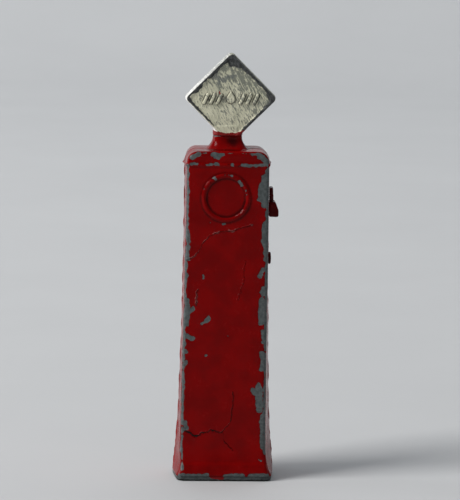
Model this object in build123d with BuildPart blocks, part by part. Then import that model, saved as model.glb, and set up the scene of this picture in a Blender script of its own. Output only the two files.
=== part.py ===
from build123d import *

import math
import os

# A toy petrol pump of painted die-cast metal. Two half shells meet on the upright plane Y = 0 and are
# held by two peened pins. Between them they trap the stem of a diamond sign, a nozzle boot and a hose
# socket. A steel plate closes the foot. Millimetres, +Z up, the dial faces -Y, +X is the nozzle side,
# and the origin is on the bench under the middle of the foot.

# ---------------------------------------------------------------- body shells
PLATE_THICK = 0.8  # the steel base plate, which lies under both shells
FOOT_HEIGHT = 7.2  # the flared part, above the plate
BODY_HEIGHT = 38.2  # from the foot's top to the bead
CAP_HEIGHT = 2.0
SHOULDER_RADIUS = 1.6
WALL = 1.0

SEAM_HALF_TOP = 6.12  # half width on the seam plane, at the bead
SEAM_SPREAD = 0.6  # what it gains down to the foot, most of it low down
SEAM_FLARE = 0.68  # what it gains from there to the foot's edge
FACE_SET_IN = 0.2  # how much less the front and rear faces' half width is, at the bead
FACE_SPREAD = 0.2
FACE_FLARE = 0.8  # the faces widen only at the very foot, into a lip
DEPTH_TOP = 4.15  # from the seam plane to the face, at the bead
DEPTH_SPREAD = 0.45
DEPTH_FLARE = 0.6
FACE_EDGE_RADIUS = 0.45  # rounding of the upright edges of each face
FOOT_EDGE_GAIN = 0.75  # how much rounder those edges are at the foot's edge
BODY_SECTIONS = 11
FOOT_SECTIONS = 7

BEAD_HEIGHT = 0.62
BEAD_PROUD = 0.15
EAR_PROUD = 0.32  # the bead stands prouder at the seam, as flash

# ---------------------------------------------------------------- dial ring
DIAL_BELOW_BEAD = 4.7
DIAL_ASIDE = -0.25  # the ring sits a little off the middle of the face
DIAL_RADIUS = 3.2  # to the crest of the ring
DIAL_BEAD_RADIUS = 0.3
DIAL_BEAD_SUNK = 0.06

# ---------------------------------------------------------------- neck and sign
NECK_HEIGHT = 2.0
NECK_WIDTH = 4.2
NECK_DEPTH = 3.0
NECK_CORNER = 0.9
NECK_FLARE = 0.95
SIGN_HALF_DIAGONAL = 6.86  # to the sharp corner, before rounding
SIGN_ASIDE = 0.35  # the diamond sits a little off the middle of its stem
SIGN_SUNK = 1.5  # how far the sharp lowest corner would go below the neck's top
SIGN_HALF_THICK = 1.6
SIGN_DRAFT = 6.0  # degrees, from the sign's own parting line to each face
SIGN_CORNER = 0.75
SIGN_RIM_WIDTH = 0.42
SIGN_RIM_DEPTH = 0.18
STEM_RISE = 1.4  # the stem goes up into the diamond by this much
TANG_WIDTH = 2.2
TANG_THICK = 1.2
TRAP_CLEARANCE = 0.04  # round every piece that the shells trap
DROP_RADIUS = 0.62
DROP_TIP = 1.15  # from the middle of the drop's round end to its tip
STROKE_LENGTH = 1.75
STROKE_WIDTH = 0.42
STROKE_LEAN = 66.0  # degrees from level
STROKES = 3  # on each side of the drop
FIRST_STROKE = 1.65  # from the sign's middle
STROKE_PITCH = 0.98
EMBLEM_HEIGHT = 0.3
SIGN_PIN_RADIUS = 0.45
SIGN_PIN_HEAD_RADIUS = 0.7
SIGN_PIN_HEAD_HEIGHT = 0.25
SIGN_PIN_SKIN = 0.5  # metal left in front of the blind hole

# ---------------------------------------------------------------- pins through the shells
UPPER_TIE_BELOW_BEAD = 11.4
LOWER_TIE_ABOVE_FOOT = 5.0
TIE_RADIUS = 0.8
TIE_CLEARANCE = 0.05
TIE_BOSS_RADIUS = 1.8
TIE_SKIN = 1.0
TIE_HEAD_RADIUS = 1.45
TIE_HEAD_HEIGHT = 0.45
SPOT_FACE_DEPTH = 0.12
SPOT_FACE_MARGIN = 0.15  # how much wider than the head it is
PIN_END_GAP = 0.1  # between a pin's end and the bottom of its hole

# ---------------------------------------------------------------- base plate and its pins
PLATE_INSET = 0.08
PLATE_EDGE_RADIUS = 0.3
LIP_HEIGHT = 1.2
LIP_THICK = 0.6
LIP_CLEARANCE = 0.1
BASE_PIN_FROM_SEAM = 2.6
BASE_PIN_RADIUS = 0.6
BASE_PIN_HEAD_RADIUS = 1.1
BASE_PIN_HEAD_HEIGHT = 0.5
BASE_PIN_ENTRY = 3.8  # how far it goes into its shell
BASE_BOSS_RADIUS = 1.4
BASE_BOSS_CAP = 0.8  # metal above the pin

# ---------------------------------------------------------------- nozzle, boot and hose socket
BOOT_BELOW_BEAD = 7.8  # to the boot's flat underside
BOOT_HEIGHT = 2.2
BOOT_PROJECTION = 1.38
BOOT_HALF_DEPTH = 1.4
BOOT_SLOPE_RUN = 0.5  # the boot's outer face leans in towards its mouth
BOOT_SLOPE_RISE = 1.3
BOOT_ROUNDING = 0.25
BOOT_FLOOR = 0.9
BOOT_SEAT = 0.03  # between the boot and the shells' side
TAIL_HEIGHT = 0.6  # of the boot's tail, which the shells trap
TAIL_THICK = 0.8
TAIL_HEAD_THICK = 2.0
TAIL_HEAD_LENGTH = 0.6
TAIL_HEAD_GAP = 0.3  # from the tail's head to the inside of the wall
NOZZLE_STANDOFF = 0.08
NOZZLE_THICK = 0.55
NOZZLE_HEIGHT = 1.9  # above the boot
NOZZLE_HALF_DEPTH = 0.9
NOZZLE_BACK_STEP = 0.45  # the hand grip leans back by this much
NOZZLE_EDGE_RADIUS = 0.12
SPOUT_HALF_DEPTH = 0.55
SPOUT_CLEARANCE = 0.05
SPOUT_END_GAP = 0.1
SOCKET_BELOW_BEAD = 14.0
SOCKET_FLANGE_RADIUS = 0.85
SOCKET_FLANGE_THICK = 0.36
SOCKET_STEM_RADIUS = 0.45
SOCKET_HEAD_RADIUS = 0.8
SOCKET_HEAD_THICK = 0.5
SOCKET_BORE_RADIUS = 0.25
SOCKET_BORE_DEPTH = 1.0

# ---------------------------------------------------------------- places worked out from the sizes
FRONT, REAR = -1, 1
FOOT_TOP = PLATE_THICK + FOOT_HEIGHT
BEAD_LINE = FOOT_TOP + BODY_HEIGHT
CAP_TOP = BEAD_LINE + CAP_HEIGHT
NECK_TOP = CAP_TOP + NECK_HEIGHT
DIAL_HEIGHT = BEAD_LINE - DIAL_BELOW_BEAD
SIGN_CENTRE = NECK_TOP - SIGN_SUNK + SIGN_HALF_DIAGONAL
SIGN_PIN_LEVEL = CAP_TOP + NECK_HEIGHT / 2
TIE_LEVELS = {"upper_tie_pin": BEAD_LINE - UPPER_TIE_BELOW_BEAD, "lower_tie_pin": FOOT_TOP + LOWER_TIE_ABOVE_FOOT}
BOOT_BOTTOM = BEAD_LINE - BOOT_BELOW_BEAD
BOOT_TOP = BOOT_BOTTOM + BOOT_HEIGHT
TAIL_LEVEL = BOOT_BOTTOM + BOOT_FLOOR / 2
SOCKET_LEVEL = BEAD_LINE - SOCKET_BELOW_BEAD


def share_down(z):
    """0 at the bead and above, 1 at the foot's top and below."""
    return min(max((BEAD_LINE - z) / BODY_HEIGHT, 0.0), 1.0)


def share_of_flare(z):
    """0 at the foot's top and above, 1 where the shells meet the plate."""
    return max((FOOT_TOP - z) / FOOT_HEIGHT, 0.0)


def seam_half(z):
    return SEAM_HALF_TOP + SEAM_SPREAD * share_down(z) ** 2.5 + SEAM_FLARE * share_of_flare(z) ** 1.1


def face_half(z):
    return SEAM_HALF_TOP - FACE_SET_IN + FACE_SPREAD * share_down(z) + FACE_FLARE * share_of_flare(z) ** 8


def edge_radius(z):
    return FACE_EDGE_RADIUS + FOOT_EDGE_GAIN * share_of_flare(z) ** 8


def depth(z):
    return DEPTH_TOP + DEPTH_SPREAD * share_down(z) + DEPTH_FLARE * share_of_flare(z) ** 2


def half_outline(z, side, inset=0.0):
    """Corners of one shell's section at a height, taken in by inset all round but on the seam."""
    seam = seam_half(z) - inset
    face = face_half(z) - inset
    deep = side * (depth(z) - inset)
    return [(-seam, 0), (-face, deep), (face, deep), (seam, 0)]


def whole_outline(z, inset=0.0):
    """Corners of both shells' section at a height."""
    return half_outline(z, FRONT, inset) + half_outline(z, REAR, inset)[2:0:-1]


def stations():
    """Heights of the sections that shape the body, from the plate up to the bead."""
    foot = [PLATE_THICK + FOOT_HEIGHT * i / FOOT_SECTIONS for i in range(FOOT_SECTIONS)]
    body = [FOOT_TOP + BODY_HEIGHT * i / BODY_SECTIONS for i in range(BODY_SECTIONS + 1)]
    return foot + body


def half_body(side, inset):
    """One shell's body from the plate to the bead, as a solid."""
    with BuildPart() as body:
        for z in stations():
            with BuildSketch(Plane.XY.offset(z)) as section:
                with BuildLine():
                    Polyline(*half_outline(z, side, inset), close=True)
                make_face()
                fillet(section.vertices().sort_by(Axis.Y)[::-side][:2], edge_radius(z))
        loft()
    return body.part


def half_cap(side):
    """One shell's cap: rounded shoulders, and the same rounded edge as the face below it."""
    with BuildPart() as cap:
        with BuildSketch(Plane.XY.offset(BEAD_LINE)):
            with BuildLine():
                Polyline(*half_outline(BEAD_LINE, side), close=True)
            make_face()
        extrude(amount=CAP_HEIGHT)
        top_edges = cap.edges().group_by(Axis.Z)[-1].sort_by(Axis.X)
        fillet([top_edges[0], top_edges[-1]], SHOULDER_RADIUS)
        face = cap.faces().sort_by(Axis.Y)[::-side][0]
        rim = [edge for edge in face.edges() if edge.center().Z > BEAD_LINE + FACE_EDGE_RADIUS / 2]
        fillet(rim, FACE_EDGE_RADIUS)
    return cap.part


def half_bead(side):
    """The bead round one shell: slim on the face, an ear of flash at the seam, both its ends inside the wall."""
    levels = [(-0.5, -0.5), (-0.1, 1.0), (0.2, 1.0), (0.5, -0.5)]
    seam, face, deep = seam_half(BEAD_LINE), face_half(BEAD_LINE), depth(BEAD_LINE)
    with BuildPart() as bead:
        for share, swell in levels:
            proud = BEAD_PROUD * swell
            ear = seam + EAR_PROUD * swell
            with BuildSketch(Plane.XY.offset(BEAD_LINE + share * BEAD_HEIGHT)) as section:
                with BuildLine():
                    Polyline(
                        (-ear, 0),
                        (-face - proud, side * (deep + proud)),
                        (face + proud, side * (deep + proud)),
                        (ear, 0),
                        close=True,
                    )
                make_face()
                fillet(section.vertices().sort_by(Axis.Y)[::-side][:2], FACE_EDGE_RADIUS + proud)
        loft(ruled=True)
    return bead.part


def half_neck(side):
    """One half of the neck, which widens as it comes down to the cap."""
    levels = [(0.0, 1.0), (0.28, 0.42), (0.6, 0.08), (1.0, 0.0)]
    with BuildPart() as neck:
        for share, flare_share in levels:
            flare = NECK_FLARE * flare_share
            with BuildSketch(Plane.XY.offset(CAP_TOP + share * NECK_HEIGHT)):
                RectangleRounded(NECK_WIDTH + 2 * flare, NECK_DEPTH + 2 * flare, NECK_CORNER + flare)
        loft()
        split(bisect_by=Plane.XZ, keep=Keep.TOP if side == FRONT else Keep.BOTTOM)
    return neck.part


def half_shell(side):
    """What both shells have: the hollow body, cap, bead, neck, bosses and the seats of what they trap."""
    body, cavity = half_body(side, 0), half_body(side, WALL)
    cap, bead, neck = half_cap(side), half_bead(side), half_neck(side)
    with BuildPart() as shell:
        add([body, cap, bead])
        add(cavity, mode=Mode.SUBTRACT)
        with BuildSketch(Plane.XY.offset(BEAD_LINE)):
            with BuildLine():
                Polyline(*half_outline(BEAD_LINE, side, WALL), close=True)
            make_face()
        extrude(amount=CAP_HEIGHT - WALL, mode=Mode.SUBTRACT)
        for z in TIE_LEVELS.values():
            with BuildSketch(Plane.XZ):
                with Locations((0, z)):
                    Circle(TIE_BOSS_RADIUS)
            extrude(amount=-side * (depth(z) - WALL / 2))
        with BuildSketch(Plane.XY.offset(PLATE_THICK)):
            with Locations((0, side * BASE_PIN_FROM_SEAM)):
                Circle(BASE_BOSS_RADIUS)
        extrude(amount=BASE_PIN_ENTRY + BASE_BOSS_CAP)
        with BuildSketch(Plane.XY.offset(PLATE_THICK)):
            with Locations((0, side * BASE_PIN_FROM_SEAM)):
                Circle(BASE_PIN_RADIUS)
        extrude(amount=BASE_PIN_ENTRY, mode=Mode.SUBTRACT)
        add(neck)
        with BuildSketch(Plane.XY.offset(NECK_TOP)):
            Rectangle(TANG_WIDTH + 2 * TRAP_CLEARANCE, TANG_THICK + 2 * TRAP_CLEARANCE)
        extrude(amount=-NECK_HEIGHT - WALL, mode=Mode.SUBTRACT)
        with BuildSketch(Plane.YZ.offset(seam_half(TAIL_LEVEL) - 1.5 * WALL)):
            with Locations((0, TAIL_LEVEL)):
                Rectangle(TAIL_THICK + 2 * TRAP_CLEARANCE, TAIL_HEIGHT + 2 * TRAP_CLEARANCE)
        extrude(amount=2 * WALL, mode=Mode.SUBTRACT)
        with BuildSketch(Plane.YZ.offset(seam_half(SOCKET_LEVEL) - 1.5 * WALL)):
            with Locations((0, SOCKET_LEVEL)):
                Circle(SOCKET_STEM_RADIUS + TRAP_CLEARANCE)
        extrude(amount=2 * WALL, mode=Mode.SUBTRACT)
    return shell.part


def side_block(low, high, inset):
    """Both shells' outline between two heights, as one solid, to trim what seats against their side."""
    with BuildPart() as block:
        for z in (low, (low + high) / 2, high):
            with BuildSketch(Plane.XY.offset(z)):
                with BuildLine():
                    Polyline(*whole_outline(z, inset), close=True)
                make_face()
        loft(ruled=True)
    return block.part


def export(part, name):
    part.label = name
    export_step(part, f"parts/{name}.step")


os.makedirs("parts", exist_ok=True)

# ---------------------------------------------------------------- front casting
front_half = half_shell(FRONT)
face_lean = math.degrees(math.atan2(DEPTH_SPREAD, BODY_HEIGHT))
dial_plane = Plane(
    origin=(DIAL_ASIDE, -depth(DIAL_HEIGHT) + DIAL_BEAD_SUNK, DIAL_HEIGHT), x_dir=(1, 0, 0), z_dir=(0, -1, 0)
).rotated((-face_lean, 0, 0))
inside = side_block(PLATE_THICK, BEAD_LINE, WALL / 2)
with BuildPart() as dial_ring:
    with Locations(dial_plane):
        Torus(DIAL_RADIUS, DIAL_BEAD_RADIUS)
    add(inside, mode=Mode.SUBTRACT)
with BuildPart() as front_casting:
    add(front_half)
    add(dial_ring.part)
    for tie_z in TIE_LEVELS.values():
        with BuildSketch(Plane.XZ):
            with Locations((0, tie_z)):
                Circle(TIE_RADIUS)
        extrude(amount=depth(tie_z) - TIE_SKIN, mode=Mode.SUBTRACT)
    with BuildSketch(Plane.XZ):
        with Locations((0, SIGN_PIN_LEVEL)):
            Circle(SIGN_PIN_RADIUS)
    extrude(amount=NECK_DEPTH / 2 - SIGN_PIN_SKIN, mode=Mode.SUBTRACT)
export(front_casting.part, "front_casting")

# ---------------------------------------------------------------- rear casting
rear_half = half_shell(REAR)
with BuildPart() as rear_casting:
    add(rear_half)
    for tie_z in TIE_LEVELS.values():
        with BuildSketch(Plane.XZ):
            with Locations((0, tie_z)):
                Circle(TIE_RADIUS + TIE_CLEARANCE)
        extrude(amount=-2 * depth(tie_z), mode=Mode.SUBTRACT)
        with BuildSketch(Plane.XZ.offset(-depth(tie_z) + SPOT_FACE_DEPTH)):
            with Locations((0, tie_z)):
                Circle(TIE_HEAD_RADIUS + SPOT_FACE_MARGIN)
        extrude(amount=-WALL, mode=Mode.SUBTRACT)
    with BuildSketch(Plane.XZ):
        with Locations((0, SIGN_PIN_LEVEL)):
            Circle(SIGN_PIN_RADIUS)
    extrude(amount=-NECK_DEPTH, mode=Mode.SUBTRACT)
    with BuildSketch(Plane.XZ.offset(-NECK_DEPTH / 2)):
        with Locations((0, SIGN_PIN_LEVEL)):
            Circle(SIGN_PIN_HEAD_RADIUS + SPOT_FACE_MARGIN)
    extrude(amount=-NECK_FLARE, mode=Mode.SUBTRACT)
export(rear_casting.part, "rear_casting")

# ---------------------------------------------------------------- diamond sign
sign_plane = Plane(origin=(SIGN_ASIDE, 0, SIGN_CENTRE), x_dir=(1, 0, 0), z_dir=(0, -1, 0))
face_half_diagonal = SIGN_HALF_DIAGONAL - SIGN_HALF_THICK * math.tan(math.radians(SIGN_DRAFT)) * math.sqrt(2)
panel_half_diagonal = face_half_diagonal - SIGN_RIM_WIDTH * math.sqrt(2)
drop_turn = math.asin(DROP_RADIUS / DROP_TIP)
drop_side = (DROP_RADIUS * math.cos(drop_turn), DROP_RADIUS * math.sin(drop_turn))
with BuildPart() as sign_casting:
    with BuildSketch(sign_plane) as diamond:
        Rectangle(SIGN_HALF_DIAGONAL * math.sqrt(2), SIGN_HALF_DIAGONAL * math.sqrt(2), rotation=45)
        fillet(diamond.vertices(), SIGN_CORNER)
    extrude(amount=SIGN_HALF_THICK, both=True, taper=SIGN_DRAFT)
    for face_side in (1, -1):
        with BuildSketch(sign_plane.offset(face_side * SIGN_HALF_THICK)) as panel:
            Rectangle(panel_half_diagonal * math.sqrt(2), panel_half_diagonal * math.sqrt(2), rotation=45)
            fillet(panel.vertices(), SIGN_CORNER)
        extrude(amount=-face_side * SIGN_RIM_DEPTH, mode=Mode.SUBTRACT)
        with BuildSketch(sign_plane.offset(face_side * (SIGN_HALF_THICK - SIGN_RIM_DEPTH))):
            with BuildLine():
                Line((0, DROP_TIP), (-drop_side[0], drop_side[1]))
                ThreePointArc((-drop_side[0], drop_side[1]), (0, -DROP_RADIUS), drop_side)
                Line(drop_side, (0, DROP_TIP))
            make_face()
            strokes = [FIRST_STROKE + i * STROKE_PITCH for i in range(STROKES)]
            with Locations(*[(side * x, 0) for side in (-1, 1) for x in strokes]):
                SlotOverall(STROKE_LENGTH, STROKE_WIDTH, rotation=STROKE_LEAN)
        extrude(amount=face_side * EMBLEM_HEIGHT)
    with BuildSketch(Plane.XY.offset(NECK_TOP)):
        Rectangle(4 * SIGN_HALF_DIAGONAL, 4 * SIGN_HALF_THICK)
    extrude(amount=-SIGN_SUNK - NECK_HEIGHT, mode=Mode.SUBTRACT)
    with BuildSketch(Plane.XY.offset(NECK_TOP)):
        RectangleRounded(NECK_WIDTH, NECK_DEPTH, NECK_CORNER)
    extrude(amount=STEM_RISE)
    with BuildSketch(Plane.XY.offset(NECK_TOP)):
        Rectangle(TANG_WIDTH, TANG_THICK)
    extrude(amount=-NECK_HEIGHT - WALL)
    with BuildSketch(Plane.XZ.offset(-TANG_THICK)):
        with Locations((0, SIGN_PIN_LEVEL)):
            Circle(SIGN_PIN_RADIUS)
    extrude(amount=2 * TANG_THICK, mode=Mode.SUBTRACT)
export(sign_casting.part, "sign_casting")

# ---------------------------------------------------------------- pins from front to rear


def cross_pin(z, radius, tip_depth, head_from_seam, head_radius, head_height):
    """A pin along Y: its tip is in the front, its domed head outside the rear."""
    with BuildPart() as pin:
        with BuildSketch(Plane.XZ.offset(tip_depth)):
            with Locations((0, z)):
                Circle(radius)
        extrude(amount=-tip_depth - head_from_seam)
        with BuildSketch(Plane.XZ.offset(-head_from_seam)):
            with Locations((0, z)):
                Circle(head_radius)
        extrude(amount=-head_height)
        fillet(pin.edges().filter_by(GeomType.CIRCLE).sort_by(Axis.Y)[-1], 0.8 * head_height)
    return pin.part


for pin_name, tie_z in TIE_LEVELS.items():
    export(
        cross_pin(
            tie_z,
            TIE_RADIUS,
            depth(tie_z) - TIE_SKIN - PIN_END_GAP,
            depth(tie_z) - SPOT_FACE_DEPTH,
            TIE_HEAD_RADIUS,
            TIE_HEAD_HEIGHT,
        ),
        pin_name,
    )
export(
    cross_pin(
        SIGN_PIN_LEVEL,
        SIGN_PIN_RADIUS,
        NECK_DEPTH / 2 - SIGN_PIN_SKIN - PIN_END_GAP,
        NECK_DEPTH / 2,
        SIGN_PIN_HEAD_RADIUS,
        SIGN_PIN_HEAD_HEIGHT,
    ),
    "sign_pin",
)

# ---------------------------------------------------------------- base plate and its two pins
with BuildPart() as lip_core:
    for lip_z in (PLATE_THICK, PLATE_THICK + LIP_HEIGHT):
        with BuildSketch(Plane.XY.offset(lip_z)):
            with BuildLine():
                Polyline(*whole_outline(lip_z, WALL + LIP_CLEARANCE + LIP_THICK), close=True)
            make_face()
    loft(ruled=True)
with BuildPart() as lip:
    for lip_z in (PLATE_THICK, PLATE_THICK + LIP_HEIGHT):
        with BuildSketch(Plane.XY.offset(lip_z)) as lip_section:
            with BuildLine():
                Polyline(*whole_outline(lip_z, WALL + LIP_CLEARANCE), close=True)
            make_face()
            fillet(lip_section.vertices().group_by(Axis.Y)[0] + lip_section.vertices().group_by(Axis.Y)[-1],
                   edge_radius(lip_z))
    loft(ruled=True)
    add(lip_core.part, mode=Mode.SUBTRACT)
    with BuildSketch(Plane.XY.offset(PLATE_THICK)):
        Rectangle(2 * (BASE_BOSS_RADIUS + LIP_CLEARANCE), 4 * depth(0))
    extrude(amount=2 * LIP_HEIGHT, mode=Mode.SUBTRACT)

with BuildPart() as base_plate:
    with BuildSketch() as plate_section:
        with BuildLine():
            Polyline(*whole_outline(PLATE_THICK, PLATE_INSET), close=True)
        make_face()
        fillet(plate_section.vertices().group_by(Axis.Y)[0] + plate_section.vertices().group_by(Axis.Y)[-1],
               edge_radius(PLATE_THICK))
    extrude(amount=PLATE_THICK)
    fillet(base_plate.edges().group_by(Axis.Z)[0], PLATE_EDGE_RADIUS)
    add(lip.part)
    with Locations(Plane.XY.rotated((180, 0, 0))):
        with Locations((0, BASE_PIN_FROM_SEAM), (0, -BASE_PIN_FROM_SEAM)):
            CounterSinkHole(BASE_PIN_RADIUS + TIE_CLEARANCE, BASE_PIN_HEAD_RADIUS + TIE_CLEARANCE)
export(base_plate.part, "base_plate")

for pin_name, side in (("front_base_pin", FRONT), ("rear_base_pin", REAR)):
    pin_end = PLATE_THICK + BASE_PIN_ENTRY - PIN_END_GAP
    with BuildPart() as base_pin:
        with BuildSketch(Plane.XZ.offset(-side * BASE_PIN_FROM_SEAM)):
            with BuildLine():
                Polyline(
                    (0, 0),
                    (BASE_PIN_HEAD_RADIUS, 0),
                    (BASE_PIN_RADIUS, BASE_PIN_HEAD_HEIGHT),
                    (BASE_PIN_RADIUS, pin_end),
                    (0, pin_end),
                    close=True,
                )
            make_face()
        revolve(axis=Axis((0, side * BASE_PIN_FROM_SEAM, 0), (0, 0, 1)))
    export(base_pin.part, pin_name)

# ---------------------------------------------------------------- nozzle boot, nozzle and hose socket
boot_side = seam_half(BOOT_BOTTOM)
spout_inner = boot_side + NOZZLE_STANDOFF
spout_outer = spout_inner + NOZZLE_THICK
boot_trim = side_block(BOOT_BOTTOM - WALL, BOOT_TOP + WALL, -BOOT_SEAT)
tail_head_outer = seam_half(TAIL_LEVEL) - WALL - TAIL_HEAD_GAP
with BuildPart() as nozzle_boot:
    with BuildSketch(Plane.XY.offset(BOOT_BOTTOM)):
        with Locations(((2 * boot_side + BOOT_PROJECTION - WALL) / 2, 0)):
            Rectangle(BOOT_PROJECTION + WALL, 2 * BOOT_HALF_DEPTH)
    extrude(amount=BOOT_HEIGHT)
    outer_face = nozzle_boot.faces().sort_by(Axis.X)[-1]
    mouth_edge = outer_face.edges().sort_by(Axis.Z)[-1]
    chamfer(mouth_edge, BOOT_SLOPE_RISE, BOOT_SLOPE_RUN, reference=outer_face)
    outer_face = nozzle_boot.faces().sort_by(Axis.X)[-1]
    fillet(outer_face.edges().filter_by(Axis.Z), BOOT_ROUNDING)
    add(boot_trim, mode=Mode.SUBTRACT)
    with BuildSketch(Plane.XY.offset(BOOT_BOTTOM + BOOT_FLOOR)):
        with Locations(((boot_side - WALL + spout_outer + SPOUT_CLEARANCE) / 2, 0)):
            Rectangle(
                spout_outer + SPOUT_CLEARANCE - boot_side + WALL, 2 * (SPOUT_HALF_DEPTH + SPOUT_CLEARANCE)
            )
    extrude(amount=BOOT_HEIGHT, mode=Mode.SUBTRACT)
    with BuildSketch(Plane.YZ.offset(tail_head_outer)):
        with Locations((0, TAIL_LEVEL)):
            Rectangle(TAIL_THICK, TAIL_HEIGHT)
    extrude(amount=boot_side + BOOT_PROJECTION / 2 - tail_head_outer)
    with BuildSketch(Plane.YZ.offset(tail_head_outer)):
        with Locations((0, TAIL_LEVEL)):
            Rectangle(TAIL_HEAD_THICK, TAIL_HEIGHT)
    extrude(amount=-TAIL_HEAD_LENGTH)
export(nozzle_boot.part, "nozzle_boot")

with BuildPart() as nozzle:
    spout_end = BOOT_BOTTOM + BOOT_FLOOR + SPOUT_END_GAP
    grip_foot = BOOT_TOP + SPOUT_END_GAP
    grip_bend = grip_foot + 0.45 * NOZZLE_HEIGHT
    grip_top = BOOT_TOP + NOZZLE_HEIGHT
    with BuildSketch(Plane.YZ.offset(spout_inner)) as profile:
        with BuildLine():
            Polyline(
                (-SPOUT_HALF_DEPTH, spout_end),
                (SPOUT_HALF_DEPTH, spout_end),
                (SPOUT_HALF_DEPTH, grip_foot),
                (NOZZLE_HALF_DEPTH, grip_foot),
                (NOZZLE_HALF_DEPTH + NOZZLE_BACK_STEP, grip_top),
                (NOZZLE_BACK_STEP - SPOUT_HALF_DEPTH, grip_top),
                (-NOZZLE_HALF_DEPTH, grip_bend),
                (-NOZZLE_HALF_DEPTH, grip_foot),
                (-SPOUT_HALF_DEPTH, grip_foot),
                close=True,
            )
        make_face()
    extrude(amount=NOZZLE_THICK)
    grip_face = nozzle.faces().sort_by(Axis.X)[-1]
    fillet(grip_face.edges(), NOZZLE_EDGE_RADIUS)
export(nozzle.part, "nozzle")

socket_side = seam_half(SOCKET_LEVEL)
socket_head = socket_side - WALL - TAIL_HEAD_GAP - SOCKET_HEAD_THICK
socket_trim = side_block(SOCKET_LEVEL - 2 * WALL, SOCKET_LEVEL + 2 * WALL, -BOOT_SEAT)
with BuildPart() as socket_flange:
    with BuildSketch(Plane.YZ.offset(socket_side - WALL)):
        with Locations((0, SOCKET_LEVEL)):
            Circle(SOCKET_FLANGE_RADIUS)
    extrude(amount=WALL + SOCKET_FLANGE_THICK)
    add(socket_trim, mode=Mode.SUBTRACT)
with BuildPart() as hose_socket:
    add(socket_flange.part)
    with BuildSketch(Plane.YZ.offset(socket_head)):
        with Locations((0, SOCKET_LEVEL)):
            Circle(SOCKET_STEM_RADIUS)
    extrude(amount=socket_side + SOCKET_FLANGE_THICK / 2 - socket_head)
    with BuildSketch(Plane.YZ.offset(socket_head)):
        with Locations((0, SOCKET_LEVEL)):
            Circle(SOCKET_HEAD_RADIUS)
    extrude(amount=SOCKET_HEAD_THICK)
    fillet(hose_socket.edges().filter_by(GeomType.CIRCLE).sort_by(Axis.X)[-1], SOCKET_FLANGE_THICK / 3)
    with BuildSketch(Plane.YZ.offset(socket_side + SOCKET_FLANGE_THICK)):
        with Locations((0, SOCKET_LEVEL)):
            Circle(SOCKET_BORE_RADIUS)
    extrude(amount=-SOCKET_BORE_DEPTH, mode=Mode.SUBTRACT)
export(hose_socket.part, "hose_socket")
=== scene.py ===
import math

import bpy
import numpy as np
from mathutils import Matrix, Vector, noise


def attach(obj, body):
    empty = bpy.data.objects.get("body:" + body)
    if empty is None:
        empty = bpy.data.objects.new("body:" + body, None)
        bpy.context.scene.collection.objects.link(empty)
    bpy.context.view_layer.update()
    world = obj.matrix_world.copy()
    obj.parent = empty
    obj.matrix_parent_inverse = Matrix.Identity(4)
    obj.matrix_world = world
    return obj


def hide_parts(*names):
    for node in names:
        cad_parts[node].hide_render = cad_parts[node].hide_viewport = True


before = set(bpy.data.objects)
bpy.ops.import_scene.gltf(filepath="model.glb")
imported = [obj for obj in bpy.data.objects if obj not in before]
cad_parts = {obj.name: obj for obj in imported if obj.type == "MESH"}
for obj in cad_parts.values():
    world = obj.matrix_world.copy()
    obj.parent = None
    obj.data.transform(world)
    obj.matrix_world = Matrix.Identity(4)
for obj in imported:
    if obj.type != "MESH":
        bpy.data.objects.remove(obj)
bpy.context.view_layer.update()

# The object is a small old toy petrol pump of die-cast metal under thick enamel. Every CAD node is
# replaced by a dense mesh of the same shape, with edges softened by paint, a wavy cast surface, and
# chips that go down to the metal. All the sizes below are millimetres in the object's frame.
MM = 0.001

# ---------------------------------------------------------------- sizes shared by meshes and paint
PAINT_THICK = 0.07
FACE_TOP_DEPTH = 4.15
FACE_TOP_LEVEL = 46.2
FACE_FOOT_DEPTH = 4.6
FACE_FOOT_LEVEL = 8.0
FOOT_EDGE_DEPTH = 5.2
PLATE_TOP = 0.8
SIGN_FACE_DEPTH = 1.6
STEM_FOOT = 50.2
NOZZLE_PATH_FOOT = 37.6
NOZZLE_PATH_TOP = 46.0
NOZZLE_PATH_HALF_WIDTH = 2.0
POCKET_HALF_WIDTH = 0.75  # of the pocket and the spout, with their clearance
POCKET_OUTER_SIDE = 6.88
POCKET_FLOOR = 39.1
VIEW_HEIGHT = 0.0728  # metres seen from bottom to top, at the object
SENSOR_SIDE = 24.0
SIGN_MIDDLE = 55.56

# Bare patches on the dial side: x and z of one end, x and z of the other end, half width.
RIGHT_EDGE_CHIPS = [
    (5.95, 45.6, 5.98, 31.5, 0.46),
    (5.98, 31.0, 6.10, 19.5, 0.48),
    (6.10, 18.6, 6.15, 4.2, 0.46),
    (4.85, 43.3, 4.80, 41.5, 0.58),
    (5.35, 44.4, 5.35, 40.6, 0.56),
    (5.45, 37.6, 5.40, 34.8, 0.46),
    (5.55, 34.6, 5.60, 32.6, 0.32),
    (5.30, 31.0, 4.90, 30.3, 0.40),
    (5.45, 28.4, 5.40, 27.6, 0.36),
    (5.25, 26.5, 5.20, 23.4, 0.52),
    (5.50, 22.1, 5.55, 20.5, 0.36),
    (5.45, 18.8, 5.55, 16.5, 0.40),
    (4.35, 13.3, 4.70, 13.0, 0.52),
    (5.05, 13.9, 5.20, 10.6, 0.56),
    (5.60, 9.6, 5.70, 5.0, 0.32),
    (5.10, 3.2, 5.45, 3.0, 0.14),
]
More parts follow.
